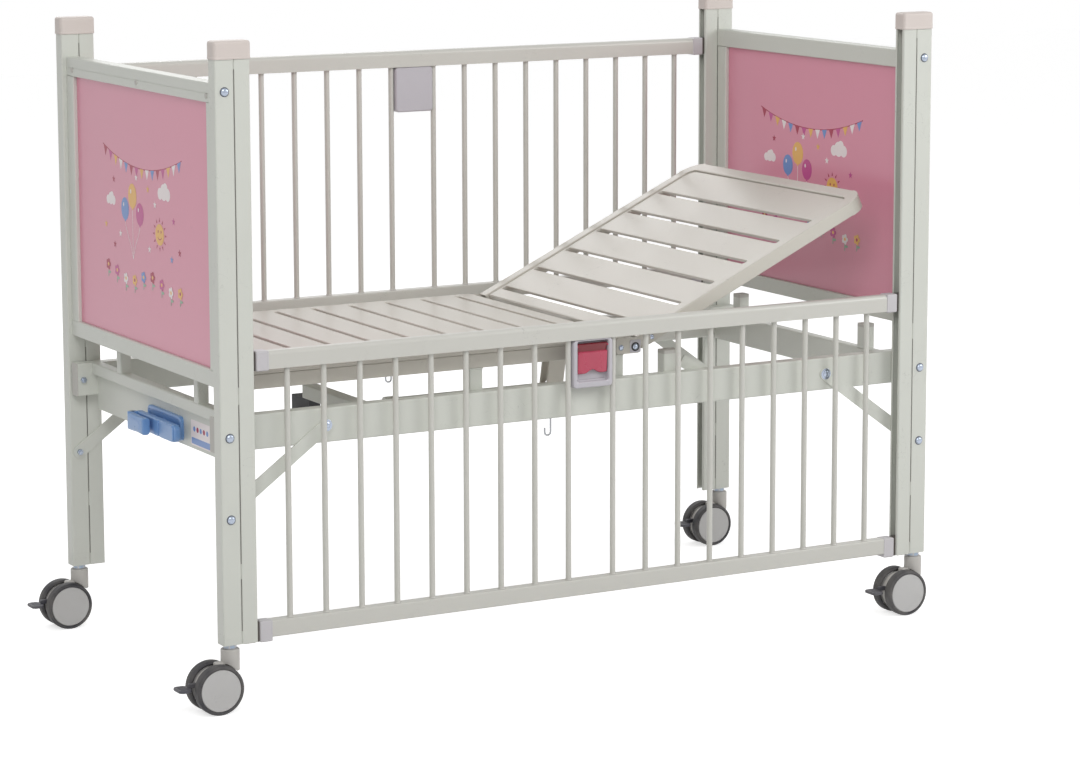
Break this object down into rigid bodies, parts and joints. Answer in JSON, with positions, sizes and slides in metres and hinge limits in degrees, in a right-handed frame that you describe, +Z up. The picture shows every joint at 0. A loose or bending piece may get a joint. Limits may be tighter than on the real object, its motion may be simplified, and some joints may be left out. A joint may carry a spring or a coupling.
{
  "type": "hospital cot",
  "caption": "Child's hospital cot on braked casters: slatted platform with a crank-raised back section, end panels and side rails that slide down.",
  "frame": {"origin": "centre of the cot's footprint at floor level, under the middle of its overall box", "axes": "+X towards the head end, +Z up, +Y towards the side rail that is stored raised"},
  "size_m": [1.7784, 0.867, 1.32],
  "materials": {
    "frame_paint": "semi-gloss powder coat",
    "rail_paint": "semi-gloss powder coat",
    "platform_paint": "semi-gloss powder coat",
    "zinc": "bright zinc plate",
    "cap_plastic": "satin moulded plastic",
    "block_plastic": "satin moulded plastic",
    "panel_pink": "smooth laminate",
    "latch_red": "gloss moulded plastic",
    "latch_grey": "satin moulded plastic",
    "crank_blue": "gloss moulded plastic",
    "bearing_dark": "matte moulded plastic",
    "plug_dark": "matte rubber",
    "tyre_grey": "matte tread",
    "caster_grey": "satin moulded plastic",
    "screw_steel": "machined"
  },
  "bodies": {
    "frame": {"bag_hooks": "zinc", "caster_stems": "screw_steel", "corner_braces": "frame_paint", "crank_bearing": "crank_blue", "crank_plate": "frame_paint", "deck_frame": "platform_paint", "deck_panel": "platform_paint", "end_plugs": "plug_dark", "foot_cross_frame": "frame_paint", "foot_panel": "panel_pink", "foot_panel_frame": "frame_paint", "frame_bolts": "zinc", "frame_supports": "frame_paint", "head_cross_beam": "frame_paint", "head_panel": "panel_pink", "head_panel_frame": "frame_paint", "hinge_plates": "zinc", "long_rail_left": "frame_paint", "long_rail_right": "frame_paint", "post_caps": "cap_plastic", "post_foot_left": "frame_paint", "post_foot_right": "frame_paint", "post_head_left": "frame_paint", "post_head_right": "frame_paint", "rail_guides": "frame_paint", "rest_buffers": "plug_dark", "screw_bearing": "bearing_dark"},
    "crank": {"crank_screw": "screw_steel", "crank_arm": "crank_blue"},
    "grip": {"crank_grip": "crank_blue"},
    "pusher": {"push_tube": "frame_paint"},
    "back": {"back_frame": "platform_paint", "back_panel": "platform_paint", "back_brackets": "zinc"},
    "left_rail": {"left_rail_tubes": "rail_paint", "left_rail_bars": "rail_paint", "left_rail_end_blocks": "block_plastic", "left_latch_housing": "latch_grey"},
    "left_handle": {"left_latch_handle": "latch_red"},
    "left_bolt_head": {"left_latch_bolt_head": "screw_steel"},
    "left_bolt_foot": {"left_latch_bolt_foot": "screw_steel"},
    "right_rail": {"right_rail_tubes": "rail_paint", "right_rail_bars": "rail_paint", "right_rail_end_blocks": "block_plastic", "right_latch_housing": "latch_grey"},
    "right_handle": {"right_latch_handle": "latch_red"},
    "right_bolt_head": {"right_latch_bolt_head": "screw_steel"},
    "right_bolt_foot": {"right_latch_bolt_foot": "screw_steel"},
    "caster_foot_left": {"caster_body_foot_left": "caster_grey"},
    "wheels_foot_left": {"caster_wheels_foot_left": "tyre_grey"},
    "pedal_foot_left": {"brake_pedal_foot_left": "caster_grey"},
    "caster_foot_right": {"caster_body_foot_right": "caster_grey"},
    "wheels_foot_right": {"caster_wheels_foot_right": "tyre_grey"},
    "pedal_foot_right": {"brake_pedal_foot_right": "caster_grey"},
    "caster_head_left": {"caster_body_head_left": "caster_grey"},
    "wheels_head_left": {"caster_wheels_head_left": "tyre_grey"},
    "pedal_head_left": {"brake_pedal_head_left": "caster_grey"},
    "caster_head_right": {"caster_body_head_right": "caster_grey"},
    "wheels_head_right": {"caster_wheels_head_right": "tyre_grey"},
    "pedal_head_right": {"brake_pedal_head_right": "caster_grey"}
  },
  "joints": [
    {"name": "crank_spin", "type": "hinge", "parent": "frame", "child": "crank", "pos_m": [-0.74325, -0.026, 0.507], "axis": [1, 0, 0], "range_deg": [-1800, 2880]},
    {"name": "back_lift", "type": "hinge", "parent": "frame", "child": "back", "pos_m": [0.18075, 0, 0.641], "axis": [0, -1, 0], "range_deg": [-25, 40]},
    {"name": "push_slide", "type": "slide", "parent": "frame", "child": "pusher", "axis": [1, 0, 0], "range_m": [-0.0638, 0.1021]},
    {"name": "grip_fold", "type": "hinge", "parent": "crank", "child": "grip", "pos_m": [-0.78125, 0.066, 0.507], "axis": [0, 0, -1], "range_deg": [0, 90]},
    {"name": "left_rail_slide", "type": "slide", "parent": "frame", "child": "left_rail", "axis": [0, 0, 1], "range_m": [0, 0.505]},
    {"name": "left_handle_pull", "type": "hinge", "parent": "left_rail", "child": "left_handle", "pos_m": [0.04675, -0.4055, 0.662], "axis": [-1, 0, 0], "range_deg": [0, 25], "stiffness_Nm_per_rad": 0.6, "springref_deg": -8.59},
    {"name": "left_bolt_head_slide", "type": "slide", "parent": "left_rail", "child": "left_bolt_head", "axis": [1, 0, 0], "range_m": [-0.008, 0]},
    {"name": "left_bolt_foot_slide", "type": "slide", "parent": "left_rail", "child": "left_bolt_foot", "axis": [1, 0, 0], "range_m": [0, 0.008]},
    {"name": "right_rail_slide", "type": "slide", "parent": "frame", "child": "right_rail", "axis": [0, 0, 1], "range_m": [-0.505, 0]},
    {"name": "right_handle_pull", "type": "hinge", "parent": "right_rail", "child": "right_handle", "pos_m": [0.04675, 0.4055, 1.167], "axis": [1, 0, 0], "range_deg": [0, 25], "stiffness_Nm_per_rad": 0.6, "springref_deg": -8.59},
    {"name": "right_bolt_head_slide", "type": "slide", "parent": "right_rail", "child": "right_bolt_head", "axis": [1, 0, 0], "range_m": [-0.008, 0]},
    {"name": "right_bolt_foot_slide", "type": "slide", "parent": "right_rail", "child": "right_bolt_foot", "axis": [1, 0, 0], "range_m": [0, 0.008]},
    {"name": "swivel_foot_left", "type": "hinge", "parent": "frame", "child": "caster_foot_left", "pos_m": [-0.77325, -0.399, 0.11], "axis": [0, 0, 1], "continuous": true},
    {"name": "roll_foot_left", "type": "hinge", "parent": "caster_foot_left", "child": "wheels_foot_left", "pos_m": [-0.80725, -0.399, 0.05], "axis": [0, 1, 0], "continuous": true},
    {"name": "brake_foot_left", "type": "hinge", "parent": "caster_foot_left", "child": "pedal_foot_left", "pos_m": [-0.83525, -0.399, 0.062], "axis": [0, -1, 0], "range_deg": [0, 12]},
    {"name": "swivel_foot_right", "type": "hinge", "parent": "frame", "child": "caster_foot_right", "pos_m": [-0.77325, 0.399, 0.11], "axis": [0, 0, 1], "continuous": true},
    {"name": "roll_foot_right", "type": "hinge", "parent": "caster_foot_right", "child": "wheels_foot_right", "pos_m": [-0.80725, 0.399, 0.05], "axis": [0, 1, 0], "continuous": true},
    {"name": "brake_foot_right", "type": "hinge", "parent": "caster_foot_right", "child": "pedal_foot_right", "pos_m": [-0.83525, 0.399, 0.062], "axis": [0, -1, 0], "range_deg": [0, 12]},
    {"name": "swivel_head_left", "type": "hinge", "parent": "frame", "child": "caster_head_left", "pos_m": [0.86675, -0.399, 0.11], "axis": [0, 0, 1], "continuous": true},
    {"name": "roll_head_left", "type": "hinge", "parent": "caster_head_left", "child": "wheels_head_left", "pos_m": [0.83275, -0.399, 0.05], "axis": [0, 1, 0], "continuous": true},
    {"name": "brake_head_left", "type": "hinge", "parent": "caster_head_left", "child": "pedal_head_left", "pos_m": [0.80475, -0.399, 0.062], "axis": [0, -1, 0], "range_deg": [0, 12]},
    {"name": "swivel_head_right", "type": "hinge", "parent": "frame", "child": "caster_head_right", "pos_m": [0.86675, 0.399, 0.11], "axis": [0, 0, 1], "continuous": true},
    {"name": "roll_head_right", "type": "hinge", "parent": "caster_head_right", "child": "wheels_head_right", "pos_m": [0.83275, 0.399, 0.05], "axis": [0, 1, 0], "continuous": true},
    {"name": "brake_head_right", "type": "hinge", "parent": "caster_head_right", "child": "pedal_head_right", "pos_m": [0.80475, 0.399, 0.062], "axis": [0, -1, 0], "range_deg": [0, 12]}
  ],
  "couplings": [
    {"joint": "back_lift", "follows": "crank_spin", "ratio": 0.013889},
    {"joint": "push_slide", "follows": "crank_spin", "m_per_rad": 0.0020286},
    {"joint": "left_bolt_head_slide", "follows": "left_handle_pull", "m_per_rad": -0.01833},
    {"joint": "left_bolt_foot_slide", "follows": "left_handle_pull", "m_per_rad": 0.01833},
    {"joint": "right_bolt_head_slide", "follows": "right_handle_pull", "m_per_rad": -0.01833},
    {"joint": "right_bolt_foot_slide", "follows": "right_handle_pull", "m_per_rad": 0.01833}
  ]
}
